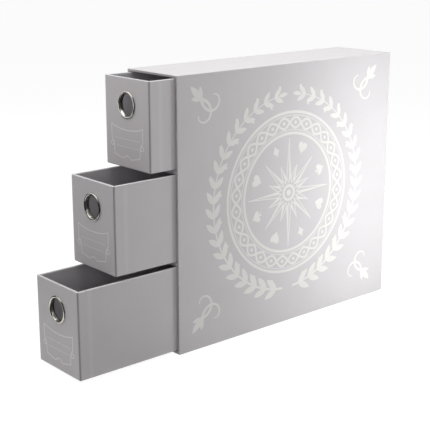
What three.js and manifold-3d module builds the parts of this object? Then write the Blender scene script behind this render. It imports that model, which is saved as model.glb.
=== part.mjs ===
// A tall, narrow storage case for trading cards with three open-topped drawers, one above the other.
// Case and drawers are rigid greyboard, wrapped in silver paper and lined with dark grey paper.
// Each drawer has a metal eyelet in its front as the finger pull.
// Millimetres, +Z up. The origin is the middle of the case's footprint on the surface it stands on.
// X is the width, and the drawers open towards -Y.
import * as THREE from "three";
import { mergeVertices } from "three/addons/utils/BufferGeometryUtils.js";
import Module from "manifold-3d";

const wasm = await Module();
wasm.setup();

// Driving dimensions. The case follows from the drawers, the gaps round them and its walls.
const DRAWER_WIDTH = 81;
const DRAWER_LENGTH = 344.5;
const DRAWER_HEIGHT = 100;
const DRAWER_BOARD = 2.5;
const DRAWER_CORNER_RADIUS = 2;
const DRAWER_BOTTOM_RADIUS = 1.5;
const RIM_OUTER_RADIUS = 0.9;
const RIM_INNER_RADIUS = 0.25;
const RIM_TURN_IN = 20;
const LINING_BELOW_RIM = 1;
const INSIDE_CORNER_RADIUS = 0.3;
const CORNER_EASE = 0.5;

const SIDE_GAP = 1.25;
const GAP_BEHIND = 3;
const GAP_BELOW = 0.6;
const GAP_ABOVE = 0.4;

const PAPER = 0.25;
const CASE_BOARD = 2.25;
const FLOOR_BOARD = 3;
const SHELF_BOARD = 4.5;
const CASE_EDGE_RADIUS = 0.75;
const CASE_FRONT_RADIUS = 0.5;
const BOARD_EDGE_RADIUS = 1.1;
const TURN_IN = 15;
const FLAP = 15;
const BASE_INSET = 1.5;
const SHELF_SETBACK = 0.5;
const LINING_SETBACK = 1.5;

// How far each drawer stands out of the case's front, from the top one down.
const PULLED_OUT = { upper: 34.5, middle: 83, lower: 132.5 };

const EYELET_BELOW_RIM = 29.6;
const EYELET_BORE = 25.8;
const EYELET_FLANGE = 2.6;
const EYELET_METAL = 0.4;
const EYELET_DOME = 1.4;
const EYELET_CURL = 1.2;
const EYELET_HOLE_GAP = 0.3;
const WASHER_WIDTH = 1;
const WASHER_THICKNESS = 0.6;

const MIN_CORNER_RADIUS = 0.1;
const SAME_POINT = 0.00001;

const CORNER_STEPS = 5;
const FILLET_STEPS = 3;
const RING_STEPS = 48;

// Levels and faces that follow from the sizes above, from a bay's inside outwards
const bayHeight = GAP_BELOW + DRAWER_HEIGHT + GAP_ABOVE;
const shelfHeight = SHELF_BOARD + 2 * PAPER;
const baySpacing = bayHeight + shelfHeight;
const boardBottomZ = 2 * PAPER;
const floorBoardZ = boardBottomZ + FLOOR_BOARD;
const bayFloorZ = floorBoardZ + 2 * PAPER;
const bayCeilingZ = bayFloorZ + 3 * bayHeight + 2 * shelfHeight;
const topBoardZ = bayCeilingZ + 2 * PAPER;
const boardTopZ = topBoardZ + CASE_BOARD;
const caseHeight = boardTopZ + PAPER;

const bayX = DRAWER_WIDTH / 2 + SIDE_GAP;
const turnInX = bayX + PAPER;
const boardInnerX = turnInX + PAPER;
const boardOuterX = boardInnerX + CASE_BOARD;
const caseHalf = boardOuterX + PAPER;

const caseDepth = DRAWER_LENGTH + GAP_BEHIND + CASE_BOARD + 3 * PAPER;
const frontY = -caseDepth / 2;
const backY = caseDepth / 2;
const boardFrontY = frontY + PAPER;
const boardBackY = backY - 2 * PAPER;
const backBoardY = boardBackY - CASE_BOARD;
const bayBackY = backBoardY - PAPER;

const shade = (colour, roughness, metalness = 0) => ({ colour, roughness, metalness });
const LOOK = {
  board: shade(0x8f8a82, 0.95),
  silver: shade(0xb4b1b4, 0.5, 0.35),
  dark: shade(0x4a484b, 0.85),
  metal: shade(0xcfcac2, 0.18, 1),
};

// Solids and how they are joined and cut.

function solidOf(geometry) {
  const plain = geometry.clone();
  plain.deleteAttribute("normal");
  plain.deleteAttribute("uv");
  const merged = mergeVertices(plain, SAME_POINT);
  return new wasm.Manifold(
    new wasm.Mesh({
      numProp: 3,
      vertProperties: new Float32Array(merged.attributes.position.array),
      triVerts: new Uint32Array(merged.index.array),
    }),
  );
}

function geometryOf(solid) {
  const mesh = solid.getMesh();
  const geometry = new THREE.BufferGeometry();
  geometry.setAttribute("position", new THREE.BufferAttribute(mesh.vertProperties, 3));
  geometry.setIndex(new THREE.BufferAttribute(mesh.triVerts, 1));
  const faceted = geometry.toNonIndexed();
  faceted.computeVertexNormals();
  return faceted;
}

function block(x0, x1, y0, y1, z0, z1) {
  const geometry = new THREE.BoxGeometry(x1 - x0, y1 - y0, z1 - z0);
  geometry.translate((x0 + x1) / 2, (y0 + y1) / 2, (z0 + z1) / 2);
  return solidOf(geometry);
}

const joined = (first, ...others) => others.reduce((whole, piece) => whole.add(piece), first);
const without = (first, ...others) => others.reduce((whole, piece) => whole.subtract(piece), first);

function roundedOutline(halfWidth, halfHeight, radius) {
  const points = [];
  const corners = [[1, 1], [-1, 1], [-1, -1], [1, -1]];
  corners.forEach(([sx, sy], quarter) => {
    for (let i = 0; i <= CORNER_STEPS; i += 1) {
      const angle = (Math.PI / 2) * (quarter + i / CORNER_STEPS);
      points.push([
        sx * (halfWidth - radius) + radius * Math.cos(angle),
        sy * (halfHeight - radius) + radius * Math.sin(angle),
      ]);
    }
  });
  return points;
}

// A bar along Y with a rounded rectangle in X and Z as its section.
function roundedBar(x0, x1, z0, z1, y0, y1, radius) {
  const outline = roundedOutline((x1 - x0) / 2, (z1 - z0) / 2, radius);
  const shape = new THREE.Shape(outline.map(([x, z]) => new THREE.Vector2(x, z)));
  const geometry = new THREE.ExtrudeGeometry(shape, { depth: y1 - y0, bevelEnabled: false });
  geometry.rotateX(Math.PI / 2);
  geometry.translate((x0 + x1) / 2, y1, (z0 + z1) / 2);
  return solidOf(geometry);
}

// A closed body swept round a rounded rectangle in plan. Each ring of the profile has its inset from the
// full plan, its height and its corner radius. The first and the last ring are closed with flat caps.
// The plan's middle lies at middleY.
function sweptTray(width, length, rings, middleY = 0) {
  const positions = [];
  const index = [];
  rings.forEach(({ inset, z, radius }) => {
    roundedOutline(width / 2 - inset, length / 2 - inset, radius).forEach(([x, y]) => {
      positions.push(x, middleY + y, z);
    });
  });
  const count = 4 * (CORNER_STEPS + 1);
  for (let ring = 0; ring + 1 < rings.length; ring += 1) {
    for (let i = 0; i < count; i += 1) {
      const next = (i + 1) % count;
      const a = ring * count + i;
      const b = ring * count + next;
      index.push(a, b, b + count, a, b + count, a + count);
    }
  }
  const last = (rings.length - 1) * count;
  for (let i = 1; i + 1 < count; i += 1) {
    index.push(0, i + 1, i);
    index.push(last, last + i, last + i + 1);
  }
  const geometry = new THREE.BufferGeometry();
  geometry.setAttribute("position", new THREE.Float32BufferAttribute(positions, 3));
  geometry.setIndex(index);
  return geometry.toNonIndexed();
}

// Profile points of a quarter round from a horizontal face to a vertical one, going up and out.
function bottomRound(inset, z, radius, corner) {
  const rings = [];
  for (let i = 0; i <= FILLET_STEPS; i += 1) {
    const angle = (Math.PI / 2) * (i / FILLET_STEPS);
    const inward = radius * (1 - Math.sin(angle));
    rings.push({
      inset: inset + inward,
      z: z + radius * (1 - Math.cos(angle)),
      radius: Math.max(corner - inward, MIN_CORNER_RADIUS),
    });
  }
  return rings;
}

// Profile points of a quarter round from a vertical face to a horizontal one, going up and in.
function topRound(inset, z, radius, corner) {
  return bottomRound(inset, -z, radius, corner)
    .map((ring) => ({ ...ring, z: -ring.z }))
    .reverse();
}

// A body turned about the Y axis. Each profile point is a radius and a distance along Y.
function turned(profile, y, z) {
  const points = profile.map(([radius, along]) => new THREE.Vector2(radius, along));
  points.push(points[0].clone());
  const geometry = new THREE.LatheGeometry(points, RING_STEPS);
  geometry.translate(0, y, z);
  return solidOf(geometry);
}

function disc(radius, y0, y1, z) {
  const geometry = new THREE.CylinderGeometry(radius, radius, y1 - y0, RING_STEPS);
  geometry.translate(0, (y0 + y1) / 2, z);
  return solidOf(geometry);
}

const part = new THREE.Group();

function addPiece(parent, name, look, solid) {
  const material = new THREE.MeshStandardMaterial({
    color: look.colour,
    roughness: look.roughness,
    metalness: look.metalness,
  });
  const mesh = new THREE.Mesh(geometryOf(solid), material);
  mesh.name = name;
  parent.add(mesh);
}

// The case: five boards, two shelves, the sheets outside and the linings inside.

// The boards as one bar with eased long edges, cut down to the side panel that is asked for.
function sideBoard(x0, x1) {
  const bar = roundedBar(
    -boardOuterX,
    boardOuterX,
    boardBottomZ,
    boardTopZ,
    boardFrontY,
    boardBackY,
    BOARD_EDGE_RADIUS,
  );
  return bar.intersect(block(x0, x1, boardFrontY, boardBackY, boardBottomZ, boardTopZ));
}

// The case's outside above its base paper, with rounded edges all round.
function caseOutside() {
  const rings = [
    ...bottomRound(0, PAPER - backY, CASE_EDGE_RADIUS, CASE_EDGE_RADIUS),
    ...topRound(0, -frontY, CASE_FRONT_RADIUS, CASE_EDGE_RADIUS),
  ];
  const middleZ = (caseHeight + PAPER) / 2;
  const geometry = sweptTray(2 * caseHalf, caseHeight - PAPER, rings, middleZ);
  geometry.rotateX(Math.PI / 2);
  return solidOf(geometry);
}

// The outer sheet: over both sides and the top, turned in at the front, lapped behind and beneath.
function caseCover() {
  const core = roundedBar(
    -boardOuterX,
    boardOuterX,
    boardBottomZ,
    boardTopZ,
    boardFrontY,
    boardBackY,
    CASE_EDGE_RADIUS - PAPER,
  );
  const belowBoards = block(
    FLAP - boardOuterX,
    boardOuterX - FLAP,
    boardFrontY + FLAP,
    backY,
    0,
    boardBottomZ,
  );
  const behindBoards = block(
    FLAP - boardOuterX,
    boardOuterX - FLAP,
    boardBackY,
    backY,
    boardBottomZ,
    boardTopZ - FLAP,
  );
  const mouth = block(
    -boardInnerX,
    boardInnerX,
    frontY,
    boardFrontY,
    floorBoardZ,
    topBoardZ,
  );
  const turnIn = without(
    block(-boardInnerX, boardInnerX, frontY, boardFrontY + TURN_IN, floorBoardZ, topBoardZ),
    block(-turnInX, turnInX, frontY, backY, floorBoardZ + PAPER, topBoardZ - PAPER),
  );
  return without(caseOutside(), core, belowBoards, behindBoards, mouth).add(turnIn);
}

function basePaper() {
  return joined(
    block(
      BASE_INSET - caseHalf,
      caseHalf - BASE_INSET,
      frontY + BASE_INSET,
      backY - BASE_INSET,
      0,
      PAPER,
    ),
    block(
      FLAP - boardOuterX,
      boardOuterX - FLAP,
      boardFrontY + FLAP,
      boardBackY,
      0,
      boardBottomZ,
    ),
  );
}

function backPaper() {
  return joined(
    block(
      BASE_INSET - caseHalf,
      caseHalf - BASE_INSET,
      backY - PAPER,
      backY,
      BASE_INSET,
      caseHeight - BASE_INSET,
    ),
    block(
      FLAP - boardOuterX,
      boardOuterX - FLAP,
      boardBackY,
      backY,
      FLAP,
      boardTopZ - FLAP,
    ),
  );
}

// A shelf reaches both side boards behind the turned-in edge of the outer sheet.
function shelfBoard(z) {
  const shelfFrontY = frontY + SHELF_SETBACK + PAPER;
  return joined(
    block(-turnInX, turnInX, shelfFrontY, backBoardY, z, z + SHELF_BOARD),
    block(
      -boardInnerX,
      boardInnerX,
      boardFrontY + TURN_IN,
      backBoardY,
      z,
      z + SHELF_BOARD,
    ),
  );
}

// Dark paper over a shelf's top, round its front edge and along its underside.
function shelfWrap(z) {
  return without(
    block(
      -turnInX,
      turnInX,
      frontY + SHELF_SETBACK,
      backBoardY,
      z - PAPER,
      z + SHELF_BOARD + PAPER,
    ),
    block(
      -caseHalf,
      caseHalf,
      frontY + SHELF_SETBACK + PAPER,
      backY,
      z,
      z + SHELF_BOARD,
    ),
  );
}

// Dark paper along one bay's two side walls and its back.
function bayLining(z0, z1) {
  return without(
    block(-turnInX, turnInX, frontY + LINING_SETBACK, backBoardY, z0, z1),
    block(-bayX, bayX, frontY, bayBackY, z0 - PAPER, z1 + PAPER),
  );
}

function addCase() {
  const body = new THREE.Group();
  const panel = (z0, z1) => block(-boardInnerX, boardInnerX, boardFrontY, boardBackY, z0, z1);
  const sheet = (z0) =>
    block(-turnInX, turnInX, frontY + LINING_SETBACK, backBoardY, z0, z0 + PAPER);
  addPiece(body, "case_left_board", LOOK.board, sideBoard(-boardOuterX, -boardInnerX));
  addPiece(body, "case_right_board", LOOK.board, sideBoard(boardInnerX, boardOuterX));
  addPiece(body, "case_top_board", LOOK.board, panel(topBoardZ, boardTopZ));
  addPiece(body, "case_bottom_board", LOOK.board, panel(boardBottomZ, floorBoardZ));
  addPiece(
    body,
    "case_back_board",
    LOOK.board,
    block(-boardInnerX, boardInnerX, backBoardY, boardBackY, floorBoardZ, topBoardZ),
  );
  addPiece(body, "case_cover_paper", LOOK.silver, caseCover());
  addPiece(body, "case_base_paper", LOOK.silver, basePaper());
  addPiece(body, "case_back_paper", LOOK.silver, backPaper());
  addPiece(body, "case_floor_lining", LOOK.dark, sheet(floorBoardZ + PAPER));
  addPiece(body, "case_ceiling_lining", LOOK.dark, sheet(bayCeilingZ));
  ["lower", "middle", "upper"].forEach((level, i) => {
    const z = bayFloorZ + i * baySpacing;
    addPiece(body, `bay_${level}_lining`, LOOK.dark, bayLining(z, z + bayHeight));
  });
  ["lower", "upper"].forEach((level, i) => {
    const z = bayFloorZ + (i + 1) * baySpacing - shelfHeight + PAPER;
    addPiece(body, `shelf_${level}_board`, LOOK.board, shelfBoard(z));
    addPiece(body, `shelf_${level}_wrap`, LOOK.dark, shelfWrap(z));
  });
  part.add(body);
}

// A drawer is made about the middle of its own plan, with its underside at zero.

const drawerHalf = DRAWER_WIDTH / 2;
const eyeletZ = DRAWER_HEIGHT - EYELET_BELOW_RIM;
const drawerEnd = DRAWER_LENGTH / 2;
const wallInner = PAPER + DRAWER_BOARD;
const liningInner = wallInner + 2 * PAPER;
const rimUnderZ = DRAWER_HEIGHT - PAPER;
const boardFloorZ = PAPER + DRAWER_BOARD;
const holeRadius = EYELET_BORE / 2 + EYELET_METAL + EYELET_HOLE_GAP;

function fingerHole() {
  return disc(holeRadius, -drawerEnd - wallInner, -drawerEnd + 2 * liningInner, eyeletZ);
}

// The sheet round the outside: up the walls, over the rim and down inside it.
function drawerCover() {
  const rings = [
    ...bottomRound(0, 0, DRAWER_BOTTOM_RADIUS, DRAWER_CORNER_RADIUS),
    ...topRound(0, DRAWER_HEIGHT, RIM_OUTER_RADIUS, DRAWER_CORNER_RADIUS),
    ...bottomRound(0, 0, RIM_INNER_RADIUS, INSIDE_CORNER_RADIUS)
      .map(({ inset, z, radius }) => ({
        inset: wallInner + PAPER - inset,
        z: DRAWER_HEIGHT - z,
        radius,
      })),
    { inset: wallInner + PAPER, z: DRAWER_HEIGHT - RIM_TURN_IN, radius: INSIDE_CORNER_RADIUS },
    { inset: wallInner, z: DRAWER_HEIGHT - RIM_TURN_IN, radius: INSIDE_CORNER_RADIUS },
    { inset: wallInner, z: rimUnderZ, radius: INSIDE_CORNER_RADIUS },
    ...topRound(
      PAPER,
      rimUnderZ,
      RIM_OUTER_RADIUS - PAPER,
      DRAWER_CORNER_RADIUS - PAPER,
    ).reverse(),
    ...bottomRound(
      PAPER,
      PAPER,
      DRAWER_BOTTOM_RADIUS - PAPER,
      DRAWER_CORNER_RADIUS - PAPER,
    ).reverse(),
  ];
  return solidOf(sweptTray(DRAWER_WIDTH, DRAWER_LENGTH, rings)).subtract(fingerHole());
}

// The dark sheet inside: walls and floor, ending just below the rim.
function drawerLining() {
  const outer = wallInner + PAPER;
  const topZ = DRAWER_HEIGHT - LINING_BELOW_RIM;
  const corner = 2 * INSIDE_CORNER_RADIUS;
  const rings = [
    { inset: outer, z: boardFloorZ, radius: corner },
    { inset: outer, z: topZ, radius: corner },
    { inset: liningInner, z: topZ, radius: INSIDE_CORNER_RADIUS },
    { inset: liningInner, z: boardFloorZ + PAPER, radius: INSIDE_CORNER_RADIUS },
  ];
  return solidOf(sweptTray(DRAWER_WIDTH, DRAWER_LENGTH, rings)).subtract(fingerHole());
}

// The space inside the outer sheet, with its edges eased more than the sheet's own.
function boardSpace() {
  const rings = [
    ...bottomRound(
      PAPER,
      PAPER,
      DRAWER_BOTTOM_RADIUS - PAPER + CORNER_EASE,
      DRAWER_CORNER_RADIUS - PAPER + CORNER_EASE,
    ),
    ...topRound(
      PAPER,
      rimUnderZ,
      RIM_OUTER_RADIUS - PAPER + CORNER_EASE,
      DRAWER_CORNER_RADIUS - PAPER + CORNER_EASE,
    ),
  ];
  return solidOf(sweptTray(DRAWER_WIDTH, DRAWER_LENGTH, rings));
}

// Front flange, barrel through the front and the edge curled over behind the washer, in one piece of metal.
function eyeletRing(backOfWasher) {
  const bore = EYELET_BORE / 2;
  const outer = bore + EYELET_FLANGE;
  const barrel = bore + EYELET_METAL;
  const curl = bore + EYELET_CURL;
  const crown = (outer + bore) / 2;
  const profile = [
    [barrel, 0],
    [barrel, backOfWasher],
    [curl, backOfWasher],
    [curl, backOfWasher + EYELET_METAL],
    [bore + EYELET_METAL / 2, backOfWasher + EYELET_METAL],
    [bore, backOfWasher],
    [bore, -EYELET_METAL],
  ];
  const domeSteps = 2 * FILLET_STEPS;
  for (let i = 1; i < domeSteps; i += 1) {
    const angle = Math.PI * (1 - i / domeSteps);
    profile.push([
      crown + ((outer - bore) / 2) * Math.cos(angle),
      -EYELET_METAL - (EYELET_DOME - EYELET_METAL) * Math.sin(angle),
    ]);
  }
  profile.push([outer, -EYELET_METAL], [outer, 0]);
  return turned(profile, -drawerEnd, eyeletZ);
}

function eyeletWasher() {
  const outer = holeRadius + WASHER_WIDTH;
  return turned(
    [[holeRadius, 0], [outer, 0], [outer, WASHER_THICKNESS], [holeRadius, WASHER_THICKNESS]],
    -drawerEnd + liningInner,
    eyeletZ,
  );
}

function addDrawer(level, floorZ) {
  const body = new THREE.Group();
  const name = (piece) => `drawer_${level}_${piece}`;
  const space = boardSpace();
  const board = (...limits) => block(...limits).intersect(space);
  const innerX = drawerHalf - wallInner;
  const innerY = drawerEnd - wallInner;
  const front = board(
    -drawerHalf,
    drawerHalf,
    -drawerEnd,
    -innerY,
    0,
    DRAWER_HEIGHT,
  ).subtract(fingerHole());
  const back = board(-drawerHalf, drawerHalf, innerY, drawerEnd, 0, DRAWER_HEIGHT);
  const left = board(-drawerHalf, -innerX, -innerY, innerY, 0, DRAWER_HEIGHT);
  const right = board(innerX, drawerHalf, -innerY, innerY, 0, DRAWER_HEIGHT);
  const bottom = board(-innerX, innerX, -innerY, innerY, 0, boardFloorZ);
  addPiece(body, name("front_board"), LOOK.board, front);
  addPiece(body, name("back_board"), LOOK.board, back);
  addPiece(body, name("left_board"), LOOK.board, left);
  addPiece(body, name("right_board"), LOOK.board, right);
  addPiece(body, name("bottom_board"), LOOK.board, bottom);
  addPiece(body, name("cover_paper"), LOOK.silver, drawerCover());
  addPiece(body, name("lining"), LOOK.dark, drawerLining());
  addPiece(body, name("eyelet_ring"), LOOK.metal, eyeletRing(liningInner + WASHER_THICKNESS));
  addPiece(body, name("eyelet_washer"), LOOK.metal, eyeletWasher());
  body.position.set(0, frontY + drawerEnd - PULLED_OUT[level], floorZ);
  part.add(body);
}

addCase();
["lower", "middle", "upper"].forEach((level, i) => {
  addDrawer(level, bayFloorZ + i * baySpacing + GAP_BELOW);
});

export default part;
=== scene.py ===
import math

import bmesh
import bpy
from mathutils import Matrix, Vector

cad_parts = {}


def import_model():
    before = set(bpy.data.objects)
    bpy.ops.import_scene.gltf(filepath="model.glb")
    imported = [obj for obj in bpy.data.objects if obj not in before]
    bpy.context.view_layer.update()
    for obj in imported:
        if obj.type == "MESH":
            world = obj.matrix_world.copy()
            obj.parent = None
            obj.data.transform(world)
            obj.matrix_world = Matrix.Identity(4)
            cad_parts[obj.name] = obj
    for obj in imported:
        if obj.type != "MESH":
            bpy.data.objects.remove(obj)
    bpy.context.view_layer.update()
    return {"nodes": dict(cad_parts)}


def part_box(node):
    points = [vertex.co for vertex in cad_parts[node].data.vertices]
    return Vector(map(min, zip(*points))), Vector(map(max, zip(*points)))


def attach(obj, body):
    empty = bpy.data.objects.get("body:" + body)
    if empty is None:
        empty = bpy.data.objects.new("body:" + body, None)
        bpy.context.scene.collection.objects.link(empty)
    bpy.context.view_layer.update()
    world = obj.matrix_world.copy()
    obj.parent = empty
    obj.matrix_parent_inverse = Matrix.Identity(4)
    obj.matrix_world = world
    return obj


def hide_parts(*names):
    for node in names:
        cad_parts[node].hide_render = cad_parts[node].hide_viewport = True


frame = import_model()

# A storage case for trading cards with three drawers, dressed for rendering.
# Lengths are in metres. X is the width, Z is up, and the drawers open towards -Y.
MM = 0.001
LEVELS = ("lower", "middle", "upper")
PAPER = 0.25 * MM

# The case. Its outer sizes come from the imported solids.
case_low, case_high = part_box("case_cover_paper")
CASE_HALF = case_high.x
CASE_TOP = case_high.z
CASE_FRONT = case_low.y
CASE_BACK = case_high.y
CASE_SKIRT = case_low.z
MOUTH_HALF = -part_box("case_left_board")[1].x - PAPER
MOUTH_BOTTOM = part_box("case_bottom_board")[1].z + PAPER
MOUTH_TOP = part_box("case_top_board")[0].z - PAPER
TURN_IN = 15 * MM
CASE_CORNER = 0.8 * MM
CASE_BACK_ROUND = 0.75 * MM
CASE_FRONT_ROUND = 0.6 * MM
MOUTH_CORNER = 0.15 * MM
MOUTH_ROUND = 0.3 * MM
# How dark the painted shade is on the case's front edge and the mouth's lip
FRONT_LIP_SHADE = 0.7

# The drawers, with the same source for their outer sizes
drawer_low, drawer_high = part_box("drawer_lower_cover_paper")
DRAWER_HALF = drawer_high.x
DRAWER_LENGTH = drawer_high.y - drawer_low.y
DRAWER_HEIGHT = drawer_high.z - drawer_low.z
DRAWER_WALL = 3.0 * MM
DRAWER_LINING = 3.25 * MM
DRAWER_FLOOR = 3.0 * MM
DRAWER_CORNER = 2.0 * MM
FOOT_ROUND = 1.5 * MM
RIM_OUTER_ROUND = 0.9 * MM
RIM_INNER_ROUND = 0.5 * MM
INNER_CORNER = 0.3 * MM
RIM_TURN_IN = 20 * MM
LAP_BEHIND_FRONT = 15 * MM
LINING_BELOW_RIM = 1.0 * MM
LINING_CORNER = 0.35 * MM

# The eyelets
EYELET_Z = 70.4 * MM
EYELET_BORE = 12.9 * MM
EYELET_FLANGE = 2.6 * MM
EYELET_METAL = 0.4 * MM
EYELET_DOME = 1.4 * MM
EYELET_RIM = 0.2 * MM
EYELET_BEHIND = 0.6 * MM
HOLE = EYELET_BORE + EYELET_METAL + 0.3 * MM
HOLE_FROM, HOLE_TO = -2 * MM, 8 * MM
WASHER_WIDTH = 1.0 * MM
WASHER_THICKNESS = 0.6 * MM
WASHER_ROUND = 0.15 * MM

# How finely rounds are divided
TURN_SIDES = 96
CASE_STEPS = 6
CASE_ROUND_STEPS = 5
DRAWER_STEPS = 8
DRAWER_ROUND_STEPS = 6
LINING_STEPS = 4
LIP_STEPS = 4
CURL_STEPS = 8
DOME_STEPS = 20
# The rings of a drawer's outer wall between which its upright corners get painted shade
FIRST_SHADED_RING, LAST_SHADED_RING = 4, 9


# Node materials
class Tree:
    """Short calls for filling one node tree."""

    def __init__(self, tree):
        self.tree = tree
        tree.nodes.clear()

    def add(self, kind, **settings):
        node = self.tree.nodes.new(kind)
        for key, value in settings.items():
            setattr(node, key, value)
        return node

    def link(self, a, b):
        self.tree.links.new(a, b)

    def place(self, scale=(1, 1, 1)):
        where = self.add("ShaderNodeTexCoord")
        mapping = self.add("ShaderNodeMapping")
        mapping.inputs["Scale"].default_value = scale
        self.link(where.outputs["Object"], mapping.inputs["Vector"])
        return mapping.outputs[0]

    def attribute(self, name):
        return self.add("ShaderNodeAttribute", attribute_name=name).outputs["Fac"]

    def noise(self, vector, scale, detail=3.0, roughness=0.55):
        node = self.add("ShaderNodeTexNoise")
        node.inputs["Scale"].default_value = scale
        node.inputs["Detail"].default_value = detail
        node.inputs["Roughness"].default_value = roughness
        self.link(vector, node.inputs["Vector"])
        return node.outputs[0]

    def ramp(self, value, low, high, out_low, out_high):
        node = self.add("ShaderNodeMapRange")
        node.inputs["From Min"].default_value = low
        node.inputs["From Max"].default_value = high
        node.inputs["To Min"].default_value = out_low
        node.inputs["To Max"].default_value = out_high
        self.link(value, node.inputs["Value"])
        return node.outputs[0]

    def math(self, operation, a, b):
        node = self.add("ShaderNodeMath", operation=operation)
        for i, value in enumerate((a, b)):
            if isinstance(value, (int, float)):
                node.inputs[i].default_value = value
            else:
                self.link(value, node.inputs[i])
        return node.outputs[0]

    def mix(self, factor, a, b):
        node = self.add("ShaderNodeMix", data_type="RGBA")
        self.link(factor, node.inputs[0])
        for slot, value in ((6, a), (7, b)):
            if isinstance(value, tuple):
                node.inputs[slot].default_value = (*value, 1)
            else:
                self.link(value, node.inputs[slot])
        return node.outputs[2]

    def blend(self, factor, a, b):
        node = self.add("ShaderNodeMixShader")
        self.link(factor, node.inputs[0])
        self.link(a.outputs[0], node.inputs[1])
        self.link(b.outputs[0], node.inputs[2])
        return node

    def seen_directly(self):
        """One for rays from the camera, and for reflections of what it would see, otherwise zero."""
        path = self.add("ShaderNodeLightPath")
        either = self.math("MAXIMUM", path.outputs["Is Camera Ray"], path.outputs["Is Glossy Ray"])
        return self.math("MAXIMUM", either, path.outputs["Is Transmission Ray"])


class Surface(Tree):
    """A material with one Principled shader."""

    def __init__(self, name):
        self.material = bpy.data.materials.new(name)
        self.material.use_nodes = True
        super().__init__(self.material.node_tree)
        self.shader = self.add("ShaderNodeBsdfPrincipled")
        output = self.add("ShaderNodeOutputMaterial")
        self.link(self.shader.outputs[0], output.inputs[0])

    def set(self, **values):
        for key, value in values.items():
            self.shader.inputs[key.replace("_", " ")].default_value = value

    def feed(self, key, socket):
        self.link(socket, self.shader.inputs[key])

    def bump(self, height, strength, distance):
        node = self.add("ShaderNodeBump")
        node.inputs["Strength"].default_value = strength
        node.inputs["Distance"].default_value = distance
        self.link(height, node.inputs["Height"])
        self.feed("Normal", node.outputs[0])


# Plain colour and paler patches of each material
SILVER = (0.622, 0.584, 0.603)
SILVER_PALE = (0.672, 0.632, 0.650)
SILVER_RUB = (0.78, 0.765, 0.77)
# Painted shade for the upright corner rounds and the case's front lip
SILVER_PAINTED_SHADE = (0.325, 0.303, 0.298)
INK_GAIN = (1.25, 1.275, 1.21)
DARK = (0.500, 0.476, 0.497)
DARK_PALE = (0.588, 0.562, 0.583)
GREY = (0.26, 0.245, 0.22)
GREY_PALE = (0.38, 0.36, 0.325)
PLATE = (0.53, 0.495, 0.455)
PLATE_PALE = (0.63, 0.595, 0.55)
# Painted shade for the inside of the eyelet's barrel
BARREL_SHADE = (0.11, 0.105, 0.10)


def silver_grain(n):
    """Soft clouds in the sheen, and pressed fibres that run upright."""
    cloud = n.noise(n.place(), 22, 2.0)
    fibre = n.noise(n.place((1.0, 1.0, 0.35)), 1400, 4.0, 0.65)
    return cloud, fibre


def silver_paper(name, edge_wear=True, ridge_at=None):
    """Pearl silver wrapping paper: pressed fibres, a soft uneven sheen, rubbed edges, and painted shade on the
    upright corner rounds and the case's front lip.
    The lap of the sheet shows as a low ridge across the side, ridge_at behind the front, with a painted highlight
    along it."""
    n = Surface(name)
    cloud, fibre = silver_grain(n)
    fleck = n.noise(n.place(), 5200, 1.0)
    shade = n.math("ADD", n.ramp(cloud, 0.3, 0.7, 0.1, 0.45), n.ramp(fibre, 0.35, 0.65, -0.05, 0.10))
    shade = n.math("ADD", shade, n.ramp(fleck, 0.4, 0.6, -0.02, 0.04))
    height = n.math("ADD", n.math("MULTIPLY", fibre, 0.6), n.math("MULTIPLY", cloud, 0.8))
    if ridge_at is not None:
        split = n.add("ShaderNodeSeparateXYZ")
        n.link(n.place(), split.inputs[0])
        away = n.math("ABSOLUTE", n.math("SUBTRACT", split.outputs["Y"], ridge_at), 0)
        height = n.math("ADD", height, n.ramp(away, 0.0, 2.2 * MM, 2.2, 0.0))
        # Painted highlight: a paler streak along the lap's ridge
        shade = n.math("ADD", shade, n.ramp(away, 0.6 * MM, 4.0 * MM, 0.7, 0.0))
    colour = n.mix(shade, SILVER, SILVER_PALE)
    if edge_wear:
        patches = n.ramp(n.noise(n.place(), 420, 3.0), 0.42, 0.66, 0.35, 1.0)
        colour = n.mix(n.math("MULTIPLY", n.attribute("edge"), patches), colour, SILVER_RUB)
        # Painted shade: the upright corner rounds and the case's front lip are darkened, patchily
        depth = n.ramp(cloud, 0.3, 0.7, 0.70, 0.90)
        colour = n.mix(n.math("MULTIPLY", n.attribute("painted_shade"), depth), colour, SILVER_PAINTED_SHADE)
    n.feed("Base Color", colour)
    n.feed("Roughness", n.ramp(fibre, 0.3, 0.7, 0.46, 0.58))
    n.set(Metallic=0.04, Specular_IOR_Level=0.28)
    n.bump(height, 0.06, 0.05 * MM)
    return n.material


def ink(name):
    """Pale satin ink printed on the silver paper."""
    n = Surface(name)
    cloud, fibre = silver_grain(n)
    low = tuple(c * g for c, g in zip(SILVER, INK_GAIN))
    high = tuple(c * g for c, g in zip(SILVER_PALE, INK_GAIN))
    shade = n.math("ADD", n.ramp(cloud, 0.3, 0.7, 0.0, 0.55), n.ramp(fibre, 0.35, 0.65, -0.1, 0.2))
    n.feed("Base Color", n.mix(shade, low, high))
    n.feed("Roughness", n.ramp(fibre, 0.3, 0.7, 0.42, 0.55))
    n.set(Metallic=0.05)
    n.bump(fibre, 0.12, 0.04 * MM)
    return n.material


def dark_paper(name):
    """Matt dark grey lining paper with a fine tooth."""
    n = Surface(name)
    cloud = n.noise(n.place(), 30, 2.0)
    tooth = n.noise(n.place(), 1900, 4.0, 0.7)
    shade = n.math("ADD", n.ramp(cloud, 0.3, 0.7, 0.0, 0.6), n.ramp(tooth, 0.35, 0.65, -0.15, 0.3))
    n.feed("Base Color", n.mix(shade, DARK, DARK_PALE))
    n.feed("Roughness", n.ramp(tooth, 0.3, 0.7, 0.62, 0.82))
    n.set(Specular_IOR_Level=0.35)
    n.bump(tooth, 0.4, 0.05 * MM)
    return n.material


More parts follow.
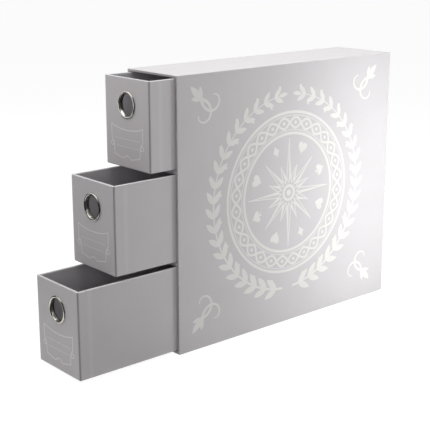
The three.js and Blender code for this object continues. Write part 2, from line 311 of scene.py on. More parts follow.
def grey_board(name):
    """Raw recycled greyboard, seen only at cut edges."""
    n = Surface(name)
    layers = n.noise(n.place((1.0, 1.0, 6.0)), 900, 3.0)
    specks = n.noise(n.place(), 2600, 2.0)
    shade = n.math("ADD", n.ramp(layers, 0.3, 0.7, 0.0, 0.8), n.ramp(specks, 0.45, 0.62, -0.2, 0.3))
    n.feed("Base Color", n.mix(shade, GREY, GREY_PALE))
    n.set(Roughness=0.93)
    n.bump(specks, 0.5, 0.06 * MM)
    return n.material


def nickel(name):
    """Polished nickel plate with faint turning lines and handling haze; inside the barrel it is rougher, and its
    colour is darkened by painted shade.
    """
    n = Surface(name)
    haze = n.noise(n.place(), 160, 3.0)
    lines = n.noise(n.place((1.0, 30.0, 1.0)), 700, 2.0)
    dull_and_shade = n.attribute("dull_and_shade")
    plate = n.mix(n.ramp(haze, 0.3, 0.7, 0.0, 1.0), PLATE, PLATE_PALE)
    n.feed("Base Color", n.mix(dull_and_shade, plate, BARREL_SHADE))
    polish = n.math("ADD", n.ramp(haze, 0.3, 0.7, 0.07, 0.13), n.ramp(lines, 0.4, 0.6, 0.0, 0.04))
    n.feed("Roughness", n.math("ADD", polish, n.math("MULTIPLY", dull_and_shade, 0.28)))
    n.set(Metallic=1.0)
    n.bump(lines, 0.05, 0.02 * MM)
    return n.material


CASE_PAPER = silver_paper("pearl_silver_paper_case")
DRAWER_PAPER = silver_paper("pearl_silver_paper_drawer", ridge_at=LAP_BEHIND_FRONT)
SHEET_PAPER = silver_paper("pearl_silver_paper_sheet", edge_wear=False)
INK = ink("pale_satin_ink")
LINING = dark_paper("dark_lining_paper")
BOARD = grey_board("greyboard")
NICKEL = nickel("polished_nickel")


# Mesh helpers
def rounded_outline(half_a, half_b, radius, steps):
    """Points round a rounded rectangle, counter-clockwise."""
    points = []
    for corner, (side_a, side_b) in enumerate(((1, 1), (-1, 1), (-1, -1), (1, -1))):
        for i in range(steps + 1):
            angle = math.pi / 2 * (corner + i / steps)
            points.append((side_a * (half_a - radius) + radius * math.cos(angle),
                           side_b * (half_b - radius) + radius * math.sin(angle)))
    return points


def quarter(height, radius, corner, steps, rising):
    """Rings of a quarter round: rising goes from the end face to the wall, otherwise from wall to end face."""
    smallest = 0.05 * MM
    rings = []
    for i in range(steps + 1):
        angle = math.pi / 2 * i / steps
        inward = radius * (1 - math.sin(angle))
        along = radius * (1 - math.cos(angle))
        rings.append((inward, height + (along if rising else -along), max(corner - inward, smallest),
                      math.cos(angle)))
    return rings if rising else rings[::-1]


def swept(half_a, half_b, rings, steps, caps=(True, True)):
    """Vertices, faces and edge weights of a surface swept round a rounded rectangle.
    Each ring is (inset, height, corner radius, edge weight)."""
    verts, faces, edge = [], [], []
    for inset, height, radius, weight in rings:
        for a, b in rounded_outline(half_a - inset, half_b - inset, radius, steps):
            verts.append((a, b, height))
            edge.append(weight)
    count = 4 * (steps + 1)
    for ring in range(len(rings) - 1):
        for i in range(count):
            j = (i + 1) % count
            faces.append((ring * count + i, ring * count + j, (ring + 1) * count + j, (ring + 1) * count + i))
    if caps[0]:
        faces.append(tuple(range(count))[::-1])
    if caps[1]:
        last = (len(rings) - 1) * count
        faces.append(tuple(range(last, last + count)))
    return verts, faces, edge


def lathe(profile):
    """Vertices and faces of a closed profile of (radius, y) turned about the Y axis."""
    verts, faces = [], []
    count = len(profile)
    for s in range(TURN_SIDES):
        angle = 2 * math.pi * s / TURN_SIDES
        for radius, y in profile:
            verts.append((radius * math.cos(angle), y, radius * math.sin(angle)))
    for s in range(TURN_SIDES):
        t = (s + 1) % TURN_SIDES
        for i in range(count):
            j = (i + 1) % count
            faces.append((s * count + i, s * count + j, t * count + j, t * count + i))
    return verts, faces


def piece(name, verts, faces, material, weights=None, origin=(0, 0, 0), smooth=True):
    """A mesh object. Its weights are lists with a number for each vertex, by the attribute's name."""
    mesh = bpy.data.meshes.new(name)
    mesh.from_pydata([tuple(v) for v in verts], [], faces)
    mesh.update()
    for attribute, values in (weights or {}).items():
        mesh.attributes.new(attribute, "FLOAT", "POINT").data.foreach_set("value", values)
    obj = bpy.data.objects.new(name, mesh)
    bpy.context.scene.collection.objects.link(obj)
    obj.location = origin
    obj.data.materials.append(material)
    if smooth:
        mesh.shade_smooth()
    return obj


def fix_normals(obj):
    """Turns every face outwards."""
    bm = bmesh.new()
    bm.from_mesh(obj.data)
    bmesh.ops.recalc_face_normals(bm, faces=bm.faces)
    bm.to_mesh(obj.data)
    bm.free()
    obj.data.shade_smooth()


def weigh_normals(obj):
    """Big flat faces stay flat and the rounds between them shade smoothly."""
    modifier = obj.modifiers.new("flat_faces", "WEIGHTED_NORMAL")
    modifier.weight = 100
    modifier.keep_sharp = True


def cut_eyelet_hole(obj):
    """Cuts the eyelet's hole through a drawer's front, in the drawer's own coordinates."""
    bm = bmesh.new()
    bmesh.ops.create_cone(bm, cap_ends=True, segments=TURN_SIDES, radius1=HOLE, radius2=HOLE,
                          depth=HOLE_TO - HOLE_FROM)
    bmesh.ops.rotate(bm, verts=bm.verts, matrix=Matrix.Rotation(math.pi / 2, 3, "X"))
    bmesh.ops.translate(bm, verts=bm.verts, vec=Vector((0, (HOLE_FROM + HOLE_TO) / 2, EYELET_Z)))
    mesh = bpy.data.meshes.new("hole_tool")
    bm.to_mesh(mesh)
    bm.free()
    tool = bpy.data.objects.new("hole_tool", mesh)
    bpy.context.scene.collection.objects.link(tool)
    tool.location = obj.location
    cut = obj.modifiers.new("hole", "BOOLEAN")
    cut.operation = "DIFFERENCE"
    cut.solver = "EXACT"
    cut.object = tool
    bpy.context.view_layer.update()
    evaluated = obj.evaluated_get(bpy.context.evaluated_depsgraph_get())
    result = bpy.data.meshes.new_from_object(evaluated)
    obj.modifiers.clear()
    obj.data = result
    bpy.data.objects.remove(tool)
    result.shade_smooth()
    result.set_sharp_from_angle(angle=math.radians(50))


def dress(names, material):
    """Gives the solids that stay in view, and those hidden behind them, the scene's own material."""
    for name in names:
        node = frame["nodes"][name]
        node.data.materials.clear()
        node.data.materials.append(material)


# The case
def case_wrap():
    """The outer sheet: rounded long edges, round front lip, turned in at the mouth."""
    half_height = (CASE_TOP - CASE_SKIRT) / 2
    middle = (CASE_TOP + CASE_SKIRT) / 2
    rings = quarter(-CASE_BACK, CASE_BACK_ROUND, CASE_CORNER, CASE_ROUND_STEPS, True)
    rings += quarter(-CASE_FRONT, CASE_FRONT_ROUND, CASE_CORNER, CASE_ROUND_STEPS, False)
    verts, faces, edge = swept(CASE_HALF, half_height, rings, CASE_STEPS, caps=(True, False))
    count = 4 * (CASE_STEPS + 1)
    start = len(verts) - count
    # Painted shade on the front edge and round the mouth's lip
    painted_shade = [0.0] * start + [FRONT_LIP_SHADE] * count
    mouth_half_height = (MOUTH_TOP - MOUTH_BOTTOM) / 2
    mouth_middle = (MOUTH_TOP + MOUTH_BOTTOM) / 2
    lip = ((MOUTH_ROUND, 0.0), (MOUTH_ROUND * 0.3, MOUTH_ROUND * 0.3), (0.0, MOUTH_ROUND), (0.0, TURN_IN))
    for grow, back in lip:
        ring = rounded_outline(MOUTH_HALF + grow, mouth_half_height + grow, MOUTH_CORNER + grow, CASE_STEPS)
        base = len(verts)
        for a, b in ring:
            verts.append((a, b + mouth_middle - middle, -CASE_FRONT - back))
            edge.append(1.0 if back < MOUTH_ROUND else 0.0)
            painted_shade.append(FRONT_LIP_SHADE)
        for i in range(count):
            j = (i + 1) % count
            faces.append((start + i, start + j, base + j, base + i))
        start = base
    upright = [(x, -h, z + middle) for x, z, h in verts]
    obj = piece("case_wrap", upright, faces, CASE_PAPER, {"edge": edge, "painted_shade": painted_shade})
    fix_normals(obj)
    weigh_normals(obj)
    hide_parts("case_cover_paper")
    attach(obj, "case")


# The drawers. Their pieces are made from the front backwards, and then put in place.
def drawer_origin(level):
    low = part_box(f"drawer_{level}_cover_paper")[0]
    return Vector((0, low.y, low.z))


def behind_front(verts):
    return [(x, y + DRAWER_LENGTH / 2, z) for x, y, z in verts]


def corner_shade_weights(rings, steps):
    """Painted shade weight: 1 on the middle of each upright corner's round and 0 on the flats, for the outer walls.
    """
    shade_weights = []
    for ring in range(rings):
        upright = FIRST_SHADED_RING <= ring <= LAST_SHADED_RING
        for _ in range(4):
            shade_weights += [math.sin(math.pi * i / steps) if upright else 0.0 for i in range(steps + 1)]
    return shade_weights


def drawer_wrap(level):
    """The outer sheet of a drawer, up the walls, over the rim and down inside."""
    foot = quarter(0, FOOT_ROUND, DRAWER_CORNER, DRAWER_ROUND_STEPS, True)
    foot[0] = (*foot[0][:3], 0.0)
    rim = quarter(DRAWER_HEIGHT, RIM_OUTER_ROUND, DRAWER_CORNER, DRAWER_ROUND_STEPS, False)
    lip = []
    for i in range(LIP_STEPS + 1):
        angle = math.pi / 2 * i / LIP_STEPS
        lip.append((DRAWER_WALL - RIM_INNER_ROUND * (1 - math.sin(angle)),
                    DRAWER_HEIGHT - RIM_INNER_ROUND * (1 - math.cos(angle)), INNER_CORNER, 1.0))
    sheet_end = DRAWER_HEIGHT - RIM_TURN_IN
    under_lip, under_rim = 0.6 * MM, 1.2 * MM
    above_foot, foot_inset, foot_corner = 1.8 * MM, 1.6 * MM, 0.5 * MM
    hidden_side = [(DRAWER_WALL, sheet_end, INNER_CORNER, 0.0),
                   (DRAWER_WALL - PAPER, sheet_end, INNER_CORNER, 0.0),
                   (DRAWER_WALL - PAPER, DRAWER_HEIGHT - under_lip, INNER_CORNER, 0.0),
                   (PAPER, DRAWER_HEIGHT - under_rim, DRAWER_CORNER, 0.0),
                   (PAPER, above_foot, DRAWER_CORNER, 0.0),
                   (foot_inset, PAPER, foot_corner, 0.0)]
    rings = foot + rim + lip + hidden_side
    verts, faces, edge = swept(DRAWER_HALF, DRAWER_LENGTH / 2, rings, DRAWER_STEPS)
    # Rubbed edges on the rounds, and painted shade on the upright corners
    weights = {"edge": edge, "painted_shade": corner_shade_weights(len(rings), DRAWER_STEPS)}
    obj = piece(f"drawer_{level}_wrap", behind_front(verts), faces, DRAWER_PAPER, weights, drawer_origin(level))
    fix_normals(obj)
    cut_eyelet_hole(obj)
    weigh_normals(obj)
    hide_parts(f"drawer_{level}_cover_paper")
    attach(obj, f"drawer_{level}")


def drawer_inside(level):
    """The dark lining, with the step that the turned-in sheet leaves under it."""
    top = DRAWER_HEIGHT - LINING_BELOW_RIM
    sheet_end = DRAWER_HEIGHT - RIM_TURN_IN
    step, step_above, step_below = 0.22 * MM, 0.5 * MM, 1.2 * MM
    top_bevel, back_corner = 0.05 * MM, 0.6 * MM
    floor_round, floor_corner, floor_inset = 0.5 * MM, 0.5 * MM, 0.3 * MM
    inner = DRAWER_LINING
    rings = [(inner - PAPER, DRAWER_FLOOR - PAPER, back_corner, 0.0),
             (inner - PAPER, top, back_corner, 0.0),
             (inner, top - top_bevel, LINING_CORNER, 0.0),
             (inner, sheet_end + step_above, LINING_CORNER, 0.0),
             (inner - step, sheet_end - step_below, LINING_CORNER, 0.0),
             (inner - step, DRAWER_FLOOR + floor_round, floor_corner, 0.0),
             (inner + floor_inset, DRAWER_FLOOR, INNER_CORNER, 0.0)]
    verts, faces, _ = swept(DRAWER_HALF, DRAWER_LENGTH / 2, rings, LINING_STEPS)
    obj = piece(f"drawer_{level}_inner_lining", behind_front(verts), faces, LINING, None, drawer_origin(level))
    fix_normals(obj)
    cut_eyelet_hole(obj)
    weigh_normals(obj)
    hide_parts(f"drawer_{level}_lining")
    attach(obj, f"drawer_{level}")


def drawer_ring(level):
    """The eyelet: a domed flange, a barrel through the front and an edge curled over behind."""
    bore, outer, barrel = EYELET_BORE, EYELET_BORE + EYELET_FLANGE, EYELET_BORE + EYELET_METAL
    back = DRAWER_LINING + EYELET_BEHIND
    profile = [(barrel, 0.0), (barrel, back)]
    curl, curl_middle = 0.45 * MM, bore + 0.75 * MM
    for i in range(CURL_STEPS + 1):
        angle = -math.pi / 2 + math.pi * i / CURL_STEPS
        profile.append((curl_middle + curl * math.cos(angle), back + curl * (1 + math.sin(angle)) * 0.5))
    curl_in, curl_ahead = 0.15 * MM, 0.3 * MM
    profile += [(bore + curl_in, back + curl * 0.8), (bore, back - curl_ahead), (bore, -EYELET_RIM)]
    crown, reach, rise = (bore + outer) / 2, (outer - bore) / 2, EYELET_DOME - EYELET_RIM
    for i in range(1, DOME_STEPS):
        angle = math.pi * (1 - i / DOME_STEPS)
        profile.append((crown + reach * math.cos(angle), -EYELET_RIM - rise * math.sin(angle)))
    rim_inset = 0.25 * MM
    profile += [(outer, -EYELET_RIM), (outer - rim_inset, 0.0)]
    verts, faces = lathe(profile)
    # Behind the flange the barrel is rougher and gets painted shade
    polished_behind = -0.1 * MM
    dull_and_shade = [1.0 if y > polished_behind else 0.0 for _, y, _ in verts]
    origin = drawer_origin(level) + Vector((0, 0, EYELET_Z))
    ring = piece(f"drawer_{level}_ring", verts, faces, NICKEL, {"dull_and_shade": dull_and_shade}, origin)
    fix_normals(ring)
    ring.data.set_sharp_from_angle(angle=math.radians(55))
    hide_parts(f"drawer_{level}_eyelet_ring")
    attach(ring, f"drawer_{level}")


def drawer_washer(level):
    """The washer that the eyelet is closed over, behind the front."""
    inner, wide = HOLE, HOLE + WASHER_WIDTH
    near, far = DRAWER_LINING, DRAWER_LINING + WASHER_THICKNESS
    profile = [(inner, near), (wide, near), (wide, far - WASHER_ROUND), (wide - WASHER_ROUND, far), (inner, far)]
    verts, faces = lathe(profile)
    origin = drawer_origin(level) + Vector((0, 0, EYELET_Z))
    washer = piece(f"drawer_{level}_washer", verts, faces, NICKEL, None, origin)
    fix_normals(washer)
    washer.data.set_sharp_from_angle(angle=math.radians(35))
    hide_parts(f"drawer_{level}_eyelet_washer")
    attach(washer, f"drawer_{level}")


# Printed ink
INK_LIFT = 0.02 * MM
INK_LAYER = 0.007 * MM
INK_THICKNESS = 0.15 * MM
NOTHING = 1e-9


class Print:
    """Flat shapes in a plane, collected into one mesh. Points are (across, up) in millimetres.
    Shapes that cross each other lie on layers of their own, a hair apart."""

    def __init__(self):
        self.verts = []
        self.faces = []
        self.layer = 0

    def add(self, points):
        base = len(self.verts)
        self.verts.extend((x, y, self.layer) for x, y in points)
        return base

    def shape(self, points):
        base = self.add(points)
        self.faces.append(tuple(range(base, base + len(points))))

    def strip(self, left, right, closed):
        base = self.add(list(left) + list(right))
        count = len(left)
        for i in range(count if closed else count - 1):
            j = (i + 1) % count
            self.faces.append((base + i, base + j, base + count + j, base + count + i))

    def line(self, points, width, closed=False):
        """A line along the points. The width is one number, or one for each point."""
        count = len(points)
        widths = width if isinstance(width, list) else [width] * count
        left, right = [], []
        for i, (x, y) in enumerate(points):
            before = points[i - 1] if i or closed else points[i]
            after = points[(i + 1) % count] if i + 1 < count or closed else points[i]
            first = unit((x - before[0], y - before[1]))
            second = unit((after[0] - x, after[1] - y))
            first = second if first == (0, 0) else first
            second = first if second == (0, 0) else second
            along = unit((first[0] + second[0], first[1] + second[1]))
            reach = widths[i] / 2 / max(0.5, along[0] * first[0] + along[1] * first[1])
            left.append((x - along[1] * reach, y + along[0] * reach))
            right.append((x + along[1] * reach, y - along[0] * reach))
        self.strip(left, right, closed)

    def ring(self, x, y, outer, inner, steps):
        self.strip(circle(x, y, outer, steps), circle(x, y, inner, steps), True)

    def disc(self, x, y, radius, steps):
        self.shape(circle(x, y, radius, steps))


def unit(v):
    length = math.hypot(*v)
    return (0, 0) if length < NOTHING else (v[0] / length, v[1] / length)


def polar(x, y, radius, turn):
    return (x + radius * math.cos(turn), y + radius * math.sin(turn))


def circle(x, y, radius, steps):
    return [polar(x, y, radius, 2 * math.pi * i / steps) for i in range(steps)]


def turned_points(points, angle, x, y, scale=1.0):
    c, s = math.cos(angle) * scale, math.sin(angle) * scale
    return [(x + c * px - s * py, y + s * px + c * py) for px, py in points]


def bezier(a, b, c, d, steps=14):
    points = []
    for i in range(steps + 1):
        t = i / steps
        w = ((1 - t) ** 3, 3 * t * (1 - t) ** 2, 3 * t * t * (1 - t), t ** 3)
        points.append((w[0] * a[0] + w[1] * b[0] + w[2] * c[0] + w[3] * d[0],
                       w[0] * a[1] + w[1] * b[1] + w[2] * c[1] + w[3] * d[1]))
    return points


def both_halves(half):
    """The closed outline whose right half is given from top to bottom, ending on the middle line."""
    return half + [(-x, y) for x, y in reversed(half[1:-1])]


def make_print(name, p, to_space, outward, body):
    """Ink as thin solids whose backs lie just inside the paper."""
    verts = [Vector(to_space(a, b, INK_LIFT + layer * INK_LAYER)) for a, b, layer in p.verts]
    faces = []
    for face in p.faces:
        normal = Vector((0, 0, 0))
        for i in range(len(face)):
            normal += verts[face[i]].cross(verts[face[(i + 1) % len(face)]])
        faces.append(face if normal.dot(outward) > 0 else face[::-1])
    obj = piece(name, verts, faces, INK, None, smooth=False)
    body_of_ink = obj.modifiers.new("ink_thickness", "SOLIDIFY")
    body_of_ink.thickness = INK_THICKNESS
    body_of_ink.offset = -1.0
    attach(obj, body)


# The design on the case's right side: wreath, laced band, compass star and corner scrolls, in millimetres
PRINT_X, PRINT_Y = PRINT_MIDDLE = (-4.0, 164.0)
WREATH_RADIUS, WREATH_LEAVES, WREATH_STEPS = 120.0, 20, 90
WREATH_FOOT_GAP, WREATH_TOP_GAP = 0.07, 0.16
LEAF_LONGEST, LEAF_SHORTENING, LEAF_LEAN, LEAF_SHARE = 22.0, 6.0, 0.60, 0.40
BERRY_OFFSET, BERRY_TURN, BERRY_RADIUS = 10.0, 0.085, 1.7
BAND_RINGS = ((100.0, 96.6, 160), (94.8, 93.8, 160), (77.2, 76.2, 128), (74.4, 71.0, 128))
BAND_MIDDLE, WAVE_HEIGHT, WAVES, WAVE_STEPS, WAVE_LINE, WAVE_BEAD = 85.5, 6.4, 14, 420, 2.8, 2.2
STAR_LONG, STAR_MIDDLE, STAR_SHORT, STAR_ROOT, STAR_WAIST, STAR_LINE = 67.0, 55.0, 36.0, 12.0, 19.0, 1.3
HUB_OUTER, HUB_INNER, HUB_DOT = 10.4, 7.0, 3.6
SIGN_RADIUS, SIGN_SIZE = 57.0, 7.4
SCROLL_ACROSS, SCROLL_UP, SCROLL_RADIUS, SCROLL_TURN, SCROLL_CLOSING = 137.0, 127.0, 17.0, 4.6, 0.72
SCROLL_STEPS, SCROLL_SPREAD, SCROLL_DOT = 60, 0.75, 2.8
SCROLL_LEAVES = ((0, 22.0), (0.66, 15.0), (-0.66, 15.0))


def heart():
    half = bezier((0, 0.55), (0.12, 1.0), (0.95, 1.08), (0.98, 0.35))
    half += bezier((0.98, 0.35), (1.0, -0.15), (0.35, -0.55), (0, -1.0))[1:]
    return both_halves(half)


def spade():
    half = bezier((0, 1.0), (0.25, 0.55), (0.95, 0.2), (0.95, -0.25))
    half += bezier((0.95, -0.25), (0.95, -0.7), (0.4, -0.75), (0.12, -0.42))[1:]
    half += bezier((0.12, -0.42), (0.14, -0.7), (0.22, -0.9), (0.4, -1.0), 6)[1:]
    return half + [(-x, y) for x, y in reversed(half[1:])]


def diamond():
    half = bezier((0, 1.0), (0.15, 0.6), (0.42, 0.22), (0.72, 0), 8)
    half += bezier((0.72, 0), (0.42, -0.22), (0.15, -0.6), (0, -1.0), 8)[1:]
    return both_halves(half)


def leaf(length, width):
    """A pointed leaf with its stalk at the origin, growing along +X."""
    upper = bezier((0, 0), (0.30 * length, 0.62 * width), (0.66 * length, 0.60 * width), (length, 0), 10)
    return upper + [(x, -y) for x, y in reversed(upper[1:-1])]


def wreath(p):
    """A laurel wreath in two halves that grow from the foot to the top."""
    for side, first_layer in ((-1, 0), (1, 6)):
        start = -math.pi / 2 + side * WREATH_FOOT_GAP
        span = side * (math.pi - WREATH_TOP_GAP - WREATH_FOOT_GAP)
        steps = range(WREATH_STEPS + 1)
        stem = [polar(*PRINT_MIDDLE, WREATH_RADIUS, start + span * i / WREATH_STEPS) for i in steps]
        p.layer = first_layer
        p.line(stem, [3.0 - 1.8 * i / WREATH_STEPS for i in steps])
        for k in range(WREATH_LEAVES):
            turn = start + span * (k + 0.6) / WREATH_LEAVES
            foot = polar(*PRINT_MIDDLE, WREATH_RADIUS, turn)
            size = LEAF_LONGEST - LEAF_SHORTENING * k / WREATH_LEAVES
            for lean in (LEAF_LEAN, -LEAF_LEAN):
                p.layer = first_layer + 1 + 2 * (k % 2) + (lean > 0)
                p.shape(turned_points(leaf(size, LEAF_SHARE * size), turn + side * math.pi / 2 + lean, *foot))
            berry_radius = WREATH_RADIUS + (BERRY_OFFSET if k % 2 else -BERRY_OFFSET)
            p.layer = first_layer + 5
            p.disc(*polar(*PRINT_MIDDLE, berry_radius, turn + side * BERRY_TURN), BERRY_RADIUS, 16)
        p.shape(turned_points(leaf(15.0, 5.5), start + span + side * math.pi / 2, *stem[-1]))


def knot_band(p):
    """Two waves laced through each other between two pairs of rings."""
    p.layer = 0
    for outer, inner, steps in BAND_RINGS:
        p.ring(*PRINT_MIDDLE, outer, inner, steps)
    turns = [2 * math.pi * i / WAVE_STEPS for i in range(WAVE_STEPS)]
    for layer, phase in ((1, 0), (2, math.pi)):
        p.layer = layer
        wave = [polar(*PRINT_MIDDLE, BAND_MIDDLE + WAVE_HEIGHT * math.sin(WAVES * t + phase), t) for t in turns]
        p.line(wave, WAVE_LINE, closed=True)
    p.layer = 3
    for i in range(2 * WAVES):
        p.disc(*polar(*PRINT_MIDDLE, BAND_MIDDLE, math.pi * (i + 0.5) / WAVES), WAVE_BEAD, 18)


def star(p):
    """A compass star, its points filled on one side and outlined on the other, with card signs between."""
    for i in range(16):
        turn = math.pi * i / 8
        tip = STAR_LONG if i % 4 == 0 else STAR_MIDDLE if i % 2 == 0 else STAR_SHORT
        point, root = polar(*PRINT_MIDDLE, tip, turn), polar(*PRINT_MIDDLE, STAR_ROOT, turn)
        p.layer = 2 if i % 2 == 0 else 0
        p.shape([root, polar(*PRINT_MIDDLE, STAR_WAIST, turn - math.pi / 16), point])
        p.layer += 1
        p.line([root, polar(*PRINT_MIDDLE, STAR_WAIST, turn + math.pi / 16), point], STAR_LINE)
    p.layer = 4
    p.ring(*PRINT_MIDDLE, HUB_OUTER, HUB_INNER, 48)
    p.disc(*PRINT_MIDDLE, HUB_DOT, 32)
    signs = (spade, heart, diamond, heart)
    for i in range(8):
        turn = math.pi * (i + 0.5) / 4
        x, y = polar(*PRINT_MIDDLE, SIGN_RADIUS, turn)
        p.shape(turned_points(signs[i % 4](), turn - math.pi / 2, x, y, SIGN_SIZE))


def corner_scrolls(p):
    """Two scrolls and three leaves in each corner of the panel."""
    steps = range(SCROLL_STEPS + 1)
    for across, up in ((-1, -1), (1, -1), (1, 1), (-1, 1)):
        at = (PRINT_X + across * SCROLL_ACROSS, PRINT_Y + up * SCROLL_UP)
        out = math.atan2(up, across)
        for side in (-1, 1):
            path = []
            for i in steps:
                turn = SCROLL_TURN * i / SCROLL_STEPS
                radius = SCROLL_RADIUS * (1 - SCROLL_CLOSING * i / SCROLL_STEPS)
                path.append((SCROLL_RADIUS - radius * math.cos(turn), side * radius * math.sin(turn)))
            p.layer = 1 if side > 0 else 2
            p.line(turned_points(path, out + math.pi - side * SCROLL_SPREAD, *at),
                   [3.6 - 2.2 * i / SCROLL_STEPS for i in steps])
        p.layer = 3
        for lean, size in SCROLL_LEAVES:
            p.shape(turned_points(leaf(size, LEAF_SHARE * size), out + lean, *at))
            p.layer += 1
        p.disc(*at, SCROLL_DOT, 24)


def side_print():
    p = Print()
    wreath(p)
    knot_band(p)
    star(p)
    corner_scrolls(p)
    make_print("case_side_print", p, lambda a, b, out: (CASE_HALF + out, a * MM, b * MM), Vector((1, 0, 0)), "case")


# The label frame, in millimetres across from the front's middle and up from the drawer's underside
LABEL_SHIFT = -0.5
LABEL_LINE, LABEL_RULE = 1.35, 0.6
BEAD_ACROSS, BEAD_UP, BEAD_OUTER, BEAD_INNER = 27.3, 25.3, 3.2, 1.9
LABEL_RULES = (((-23.9, 32.2), (22.7, 32.2)), ((-20.5, 23.6), (20.2, 23.6)))


def label_print(level):
    """The label frame under the eyelet: sagging top edge, a bead on each side and two ruled lines."""
    p = Print()
    half = bezier((-28.6, 46.9), (-13.5, 40.9), (13.5, 40.9), (28.6, 46.9), 20)[10:]
    half += [(28.2, 33.6)] + bezier((28.2, 31.8), (27.6, 29.8), (24.6, 28.0), (23.8, 24.4), 6)
    half += [(23.4, 13.8)] + bezier((7.4, 10.2), (4.6, 10.8), (4.2, 13.8), (0.0, 13.8), 6)
    p.line([(x + LABEL_SHIFT, y) for x, y in both_halves(half)], LABEL_LINE, closed=True)
    p.layer = 1
    for side in (-1, 1):
        p.ring(side * BEAD_ACROSS + LABEL_SHIFT, BEAD_UP, BEAD_OUTER, BEAD_INNER, 32)
    for rule in LABEL_RULES:
        p.line(list(rule), LABEL_RULE)
    at = drawer_origin(level)
    make_print(f"drawer_{level}_label_print", p, lambda a, b, out: (a * MM, at.y - out, at.z + b * MM),
               Vector((0, -1, 0)), f"drawer_{level}")


# Build
case_wrap()
for level in LEVELS:
    drawer_wrap(level)
    drawer_inside(level)
    drawer_ring(level)
    drawer_washer(level)
    label_print(level)
side_print()

boards = [n for n in frame["nodes"] if n.endswith("_board")]
dark_nodes = [n for n in frame["nodes"] if n.endswith("_lining") or n.endswith("_wrap")]
silver_nodes = [n for n in frame["nodes"] if n.endswith("_paper")]
dress(boards, BOARD)
dress(dark_nodes, LINING)
dress(silver_nodes, SHEET_PAPER)
dress([n for n in frame["nodes"] if "eyelet" in n], NICKEL)

# Stage, lights and camera
FLOOR_GLOW = 0.955
FLOOR_SHADE = 0.14
FLOOR_BOUNCE = 0.60
FLOOR_HALF, FLOOR_DROP = 30.0, -0.0003
AMBIENT = 0.06
BLACK = 0.01
# x and y of the black floor cloth, and x, y and top of the fence's posts from the left of the fronts to the right
APRON = ((0.05, -0.53), (0.24, -0.46), (0.24, -0.17), (0.05, -0.17))
APRON_LIFT = 0.002
FENCE = (
    (-0.24, -0.10, 0.22), (-0.24, -0.52, 0.22), (0.02, -0.55, 0.22), (0.02, -0.55, 0.70), (0.24, -0.46, 0.70),
    (0.24, -0.17, 0.70),
)
# Brightly lit paper loses its warm cast in the photograph, so its lights are a little cooler than the fill
NEUTRAL = (1.0, 1.0, 1.0)
COOL = (0.955, 1.0, 0.985)
# name, place, point it faces, width, height, watts, tint, whether shiny surfaces mirror it
LIGHTS = (
    ("side_rear", (0.27, 0.155, 0.16), (0.045, 0.155, 0.16), 0.06, 0.40, 0.86, COOL, False),
    ("top_near", (0.25, -0.30, 0.95), (0.0, -0.25, 0.25), 0.70, 0.50, 2.25, NEUTRAL, False),
    ("top_front", (-0.1, -0.6, 1.30), (0.0, -0.2, 0.2), 1.2, 1.0, 3.4, COOL, True),
    ("top_back", (0.0, 0.45, 1.30), (0.0, 0.1, 0.3), 1.2, 1.0, 10.2, COOL, True),
    ("fill_left_front", (-1.5, -0.9, 0.45), (0.0, -0.2, 0.16), 1.0, 1.2, 13.6, NEUTRAL, False),
    ("fill_camera", (0.93, -0.90, 0.50), (0.0, -0.18, 0.18), 0.5, 0.45, 1.5, NEUTRAL, False),
)
# The camera that fits the photograph's straight edges: degrees, pixels of a square picture, and metres
AZIMUTH, ELEVATION, ROLL = 49.882, 14.105, -0.238
FOCAL, CENTRE_X, CENTRE_Y, PICTURE = 1035.821, 202.756, 197.527, 430
DISTANCE, SHIFT_RIGHT, SHIFT_UP = 1.277936, -0.066422, -0.008244
AIM_BEHIND_FRONT, AIM_HEIGHT = 0.160, 0.160
SENSOR = 36
NEAREST, FARTHEST = 0.05, 50


def floor():
    """White to the eye with a soft shadow kept, and a plain pale surface for the light that it throws back."""
    material = bpy.data.materials.new("pale_floor")
    material.use_nodes = True
    n = Tree(material.node_tree)
    bounce = n.add("ShaderNodeBsdfDiffuse")
    bounce.inputs["Color"].default_value = (FLOOR_BOUNCE, FLOOR_BOUNCE, FLOOR_BOUNCE, 1)
    shadowed = n.add("ShaderNodeBsdfDiffuse")
    shadowed.inputs["Color"].default_value = (FLOOR_SHADE, FLOOR_SHADE, FLOOR_SHADE, 1)
    glow = n.add("ShaderNodeEmission")
    glow.inputs["Color"].default_value = (1, 1, 1, 1)
    glow.inputs["Strength"].default_value = FLOOR_GLOW
    white = n.add("ShaderNodeAddShader")
    n.link(shadowed.outputs[0], white.inputs[0])
    n.link(glow.outputs[0], white.inputs[1])
    blend = n.blend(n.seen_directly(), bounce, white)
    n.link(blend.outputs[0], n.add("ShaderNodeOutputMaterial").inputs[0])
    verts = [(a * FLOOR_HALF, b * FLOOR_HALF, FLOOR_DROP) for a, b in ((-1, -1), (1, -1), (1, 1), (-1, 1))]
    obj = piece("studio_floor", verts, [(0, 1, 2, 3)], material, None, smooth=False)


def dark_fence():
    """A black fence round the fronts that only polished surfaces mirror. It neither shows nor holds off light."""
    n = Surface("studio_black")
    n.set(Roughness=0.9, Base_Color=(BLACK, BLACK, BLACK, 1))
    verts, faces = [], []
    for x, y, top in FENCE:
        verts += [(x, y, 0.0), (x, y, top)]
    for i in range(0, len(verts) - 2, 2):
        faces.append((i, i + 2, i + 3, i + 1))
    start = len(verts)
    verts += [(x, y, APRON_LIFT) for x, y in APRON]
    faces.append(tuple(range(start, len(verts))))
    obj = piece("studio_black_fence", verts, faces, n.material, None, smooth=False)
    obj.visible_camera = False
    obj.visible_diffuse = False
    obj.visible_shadow = False


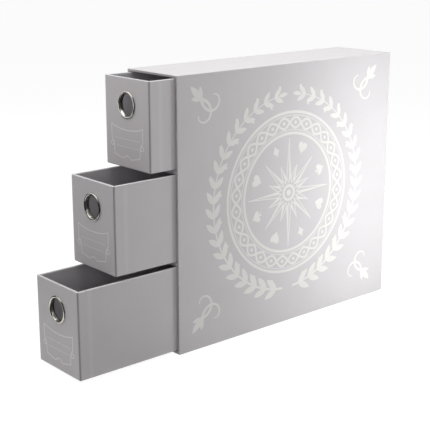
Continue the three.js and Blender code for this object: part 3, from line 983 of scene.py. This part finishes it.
def world():
    """Plain white where it is seen, and a faint even light everywhere else."""
    made = bpy.data.worlds.new("white_studio")
    bpy.context.scene.world = made
    made.use_nodes = True
    n = Tree(made.node_tree)
    ambient = n.add("ShaderNodeBackground")
    ambient.inputs["Color"].default_value = (0.97, 0.98, 1.0, 1)
    ambient.inputs["Strength"].default_value = AMBIENT
    white = n.add("ShaderNodeBackground")
    white.inputs["Color"].default_value = (1, 1, 1, 1)
    white.inputs["Strength"].default_value = 1.0
    blend = n.blend(n.seen_directly(), ambient, white)
    n.link(blend.outputs[0], n.add("ShaderNodeOutputWorld").inputs[0])


def softbox(name, place, target, width, height, power, tint, in_reflections):
    light = bpy.data.lights.new(name, "AREA")
    light.color = tint
    light.shape = "RECTANGLE"
    light.size = width
    light.size_y = height
    light.energy = power
    obj = bpy.data.objects.new(name, light)
    bpy.context.scene.collection.objects.link(obj)
    obj.location = place
    obj.rotation_euler = (Vector(target) - Vector(place)).to_track_quat("-Z", "Y").to_euler()
    obj.visible_glossy = in_reflections


def camera():
    azimuth, elevation, roll = (math.radians(angle) for angle in (AZIMUTH, ELEVATION, ROLL))
    back = Vector((math.sin(azimuth) * math.cos(elevation), -math.cos(azimuth) * math.cos(elevation),
                   math.sin(elevation)))
    right = Vector((math.cos(azimuth), math.sin(azimuth), 0))
    up = back.cross(right)
    right_rolled = right * math.cos(roll) + up * math.sin(roll)
    up_rolled = up * math.cos(roll) - right * math.sin(roll)
    aim = Vector((0, CASE_FRONT + AIM_BEHIND_FRONT, AIM_HEIGHT))
    data = bpy.data.cameras.new("photo_camera")
    data.sensor_width = SENSOR
    data.lens = FOCAL * SENSOR / PICTURE
    data.shift_x = (PICTURE / 2 - CENTRE_X) / PICTURE
    data.shift_y = (CENTRE_Y - PICTURE / 2) / PICTURE
    data.clip_start = NEAREST
    data.clip_end = FARTHEST
    obj = bpy.data.objects.new("photo_camera", data)
    bpy.context.scene.collection.objects.link(obj)
    spin = Matrix((right_rolled, up_rolled, back)).transposed().to_4x4()
    obj.matrix_world = Matrix.Translation(aim + back * DISTANCE + right * SHIFT_RIGHT + up * SHIFT_UP) @ spin
    bpy.context.scene.camera = obj


floor()
dark_fence()
world()
for light in LIGHTS:
    softbox(*light)
camera()

bpy.context.scene.view_settings.view_transform = "Standard"
